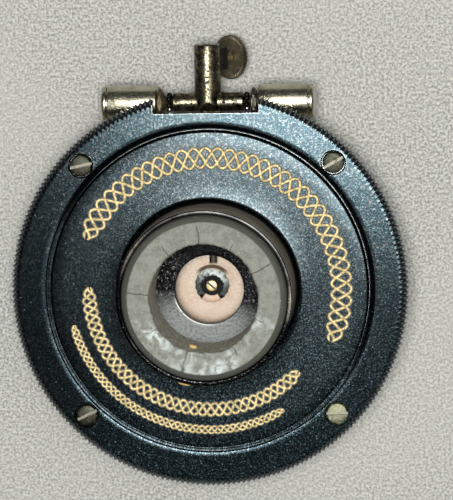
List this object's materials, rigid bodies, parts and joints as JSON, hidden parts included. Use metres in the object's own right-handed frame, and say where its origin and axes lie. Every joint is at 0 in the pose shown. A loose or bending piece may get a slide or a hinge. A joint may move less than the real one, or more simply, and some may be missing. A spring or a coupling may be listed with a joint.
{
  "type": "gramophone sound box",
  "caption": "Round sound box of an acoustic gramophone lying on its face: screwed case, mica diaphragm, rubber socket for the tone arm and a rocking needle holder.",
  "frame": {"origin": "middle of the footprint, on the surface that the front rim lies on", "axes": "+Z from the front rim to the rubber socket at the back, +Y from the case's axis to the needle holder, +X to the right as seen from the back"},
  "size_m": [0.06, 0.0678, 0.023],
  "materials": {
    "nickel": "worn nickel plate with an olive cast",
    "blued": "blue-black bronzed finish, rubbed bright on its edges",
    "worn_steel": "plated screws dulled to brown and olive",
    "dark_nickel": "tarnished nickel",
    "rusty_steel": "steel with brown rust",
    "brass": "aged brass",
    "aged_rubber": "hardened rubber, olive grey, scuffed and cracked",
    "gasket_rubber": "pale aged rubber tube",
    "mica": "clear sheet mica, pinkish beige",
    "fibre": "black fibre",
    "wax": "old wax, dull blue-grey"
  },
  "bodies": {
    "case": {"front_case": "nickel", "back_ring": "blued", "back_plate": "blued", "tone_arm_bush": "aged_rubber", "bayonet_pin": "brass", "front_gasket": "gasket_rubber", "rear_gasket": "gasket_rubber", "case_screw_1": "worn_steel", "case_screw_2": "worn_steel", "case_screw_3": "worn_steel", "case_screw_4": "worn_steel", "pivot_barrel_left": "nickel", "pivot_screw_left": "worn_steel", "pivot_lock_nut_left": "worn_steel", "pivot_cap_left": "nickel", "pivot_barrel_right": "nickel", "pivot_screw_right": "worn_steel", "pivot_lock_nut_right": "worn_steel", "pivot_cap_right": "nickel"},
    "stylus": {"stylus_bar": "dark_nickel"},
    "needle_screw": {"needle_screw_shank": "worn_steel", "needle_screw_head": "rusty_steel"},
    "diaphragm": {"mica_diaphragm": "mica", "front_washer": "fibre", "rear_washer": "fibre", "wax_seal": "wax", "diaphragm_screw": "brass"},
    "balls_left": {"pivot_ball_left_1": "worn_steel", "pivot_ball_left_2": "worn_steel", "pivot_ball_left_3": "worn_steel", "pivot_ball_left_4": "worn_steel", "pivot_ball_left_5": "worn_steel", "pivot_ball_left_6": "worn_steel", "pivot_ball_left_7": "worn_steel"},
    "balls_right": {"pivot_ball_right_1": "worn_steel", "pivot_ball_right_2": "worn_steel", "pivot_ball_right_3": "worn_steel", "pivot_ball_right_4": "worn_steel", "pivot_ball_right_5": "worn_steel", "pivot_ball_right_6": "worn_steel", "pivot_ball_right_7": "worn_steel"}
  },
  "joints": [
    {"name": "stylus_rock", "type": "hinge", "parent": "case", "child": "stylus", "pos_m": [0, 0.02405, 0.0068], "axis": [1, 0, 0], "range_deg": [-0.3, 0.3], "stiffness_Nm_per_rad": 1.5},
    {"name": "diaphragm_travel", "type": "slide", "parent": "case", "child": "diaphragm", "axis": [0, 0, 1], "range_m": [-0.00025, 0.00025]},
    {"name": "balls_left_roll", "type": "hinge", "parent": "case", "child": "balls_left", "pos_m": [-0.00585, 0.02405, 0.0068], "axis": [1, 0, 0], "range_deg": [-0.25, 0.25]},
    {"name": "balls_right_roll", "type": "hinge", "parent": "case", "child": "balls_right", "pos_m": [0.00585, 0.02405, 0.0068], "axis": [1, 0, 0], "range_deg": [-0.25, 0.25]},
    {"name": "needle_screw_turn", "type": "hinge", "parent": "stylus", "child": "needle_screw", "pos_m": [0, 0.03055, 0.0068], "axis": [0.6157, 0, -0.788], "range_deg": [-720, 180]}
  ],
  "couplings": [
    {"joint": "diaphragm_travel", "follows": "stylus_rock", "m_per_rad": -0.02795},
    {"joint": "balls_left_roll", "follows": "stylus_rock", "ratio": 0.5},
    {"joint": "balls_right_roll", "follows": "stylus_rock", "ratio": 0.5}
  ]
}
